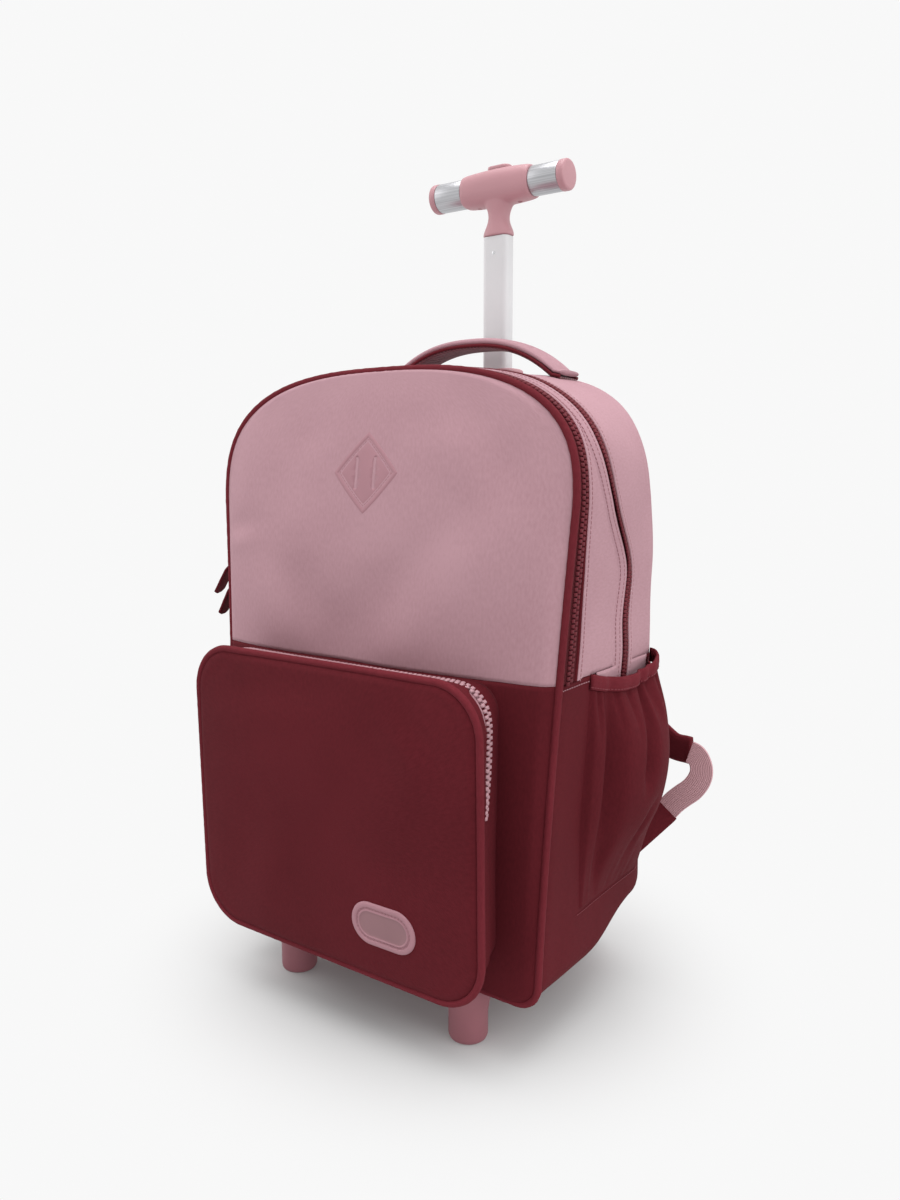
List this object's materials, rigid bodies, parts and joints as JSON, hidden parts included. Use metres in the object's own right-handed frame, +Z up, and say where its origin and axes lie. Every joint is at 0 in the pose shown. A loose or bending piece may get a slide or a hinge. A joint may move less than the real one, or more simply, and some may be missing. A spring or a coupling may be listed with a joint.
{
  "type": "wheeled school backpack",
  "caption": "Wheeled school backpack: soft padded bag on a moulded base with feet and wheels, telescopic pole with a T-grip, shoulder straps, mesh side pockets and a boxed front pocket.",
  "frame": {"origin": "on the floor, below the middle of the bounding box", "axes": "+X to the bag's right as seen from its front, -Y to the front, +Z up along the pole"},
  "size_m": [0.392, 0.2976, 0.6795],
  "materials": {
    "pink_cloth": "fine-woven pink polyester, padded",
    "maroon_cloth": "fine-woven maroon polyester",
    "maroon_mesh": "padded maroon air mesh",
    "maroon_zip": "woven maroon zip tape with moulded teeth",
    "pink_zip": "woven pink zip tape with chunky moulded teeth",
    "pink_webbing": "ribbed pink webbing",
    "pink_rubber": "soft moulded rubber, matt",
    "pink_plastic": "moulded pink plastic, satin",
    "brushed_aluminium": "brushed along its length",
    "white_paint": "smooth pale grey paint",
    "chromed_steel": "polished",
    "dark_rubber": "matt dark tyre",
    "plain_steel": "plain turned steel"
  },
  "bodies": {
    "bag": {"front_panel_upper": "pink_cloth", "front_panel_lower": "maroon_cloth", "panel_piping": "maroon_cloth", "gusset_upper": "pink_cloth", "gusset_lower": "maroon_cloth", "back_panel": "maroon_mesh", "back_piping": "maroon_cloth", "front_zip": "maroon_zip", "main_zip": "maroon_zip", "front_pocket": "maroon_cloth", "front_pocket_piping": "maroon_cloth", "front_pocket_zip": "pink_zip", "diamond_patch": "pink_rubber", "pill_badge": "pink_rubber", "side_pocket_left": "maroon_cloth", "side_pocket_right": "maroon_cloth", "side_pocket_hem_left": "maroon_cloth", "side_pocket_hem_right": "maroon_cloth", "carry_handle_pad": "pink_cloth", "carry_handle_lining": "maroon_mesh", "shoulder_strap_left": "maroon_mesh", "shoulder_strap_right": "maroon_mesh", "strap_webbing_left": "pink_webbing", "strap_webbing_right": "pink_webbing", "strap_tab_left": "maroon_cloth", "strap_tab_right": "maroon_cloth", "trolley_base": "pink_plastic", "front_foot_left": "pink_plastic", "front_foot_right": "pink_plastic", "wheel_axle": "plain_steel", "outer_tube": "brushed_aluminium", "pole_collar": "pink_plastic", "front_zip_pull_upper": "maroon_cloth", "front_zip_pull_lower": "maroon_cloth", "main_zip_pull": "maroon_cloth"},
    "handle": {"inner_pole": "white_paint", "pole_screw": "chromed_steel", "grip_hub": "pink_plastic", "grip_tube_left": "brushed_aluminium", "grip_tube_right": "brushed_aluminium", "grip_cap_left": "pink_plastic", "grip_cap_right": "pink_plastic"},
    "button": {"release_button": "pink_plastic"},
    "wheel_left": {"wheel_tyre_left": "dark_rubber", "wheel_hub_left": "pink_plastic"},
    "wheel_right": {"wheel_tyre_right": "dark_rubber", "wheel_hub_right": "pink_plastic"}
  },
  "joints": [
    {"name": "handle_slide", "type": "slide", "parent": "bag", "child": "handle", "axis": [0, 0, 1], "range_m": [-0.096, 0.24]},
    {"name": "button_press", "type": "slide", "parent": "handle", "child": "button", "axis": [0, 0, 1], "range_m": [-0.003, 0], "stiffness_N_per_m": 500, "springref_m": 0.0005},
    {"name": "wheel_left_spin", "type": "hinge", "parent": "bag", "child": "wheel_left", "pos_m": [-0.084, 0.07943, 0.028], "axis": [1, 0, 0], "continuous": true},
    {"name": "wheel_right_spin", "type": "hinge", "parent": "bag", "child": "wheel_right", "pos_m": [0.084, 0.07943, 0.028], "axis": [1, 0, 0], "continuous": true}
  ]
}
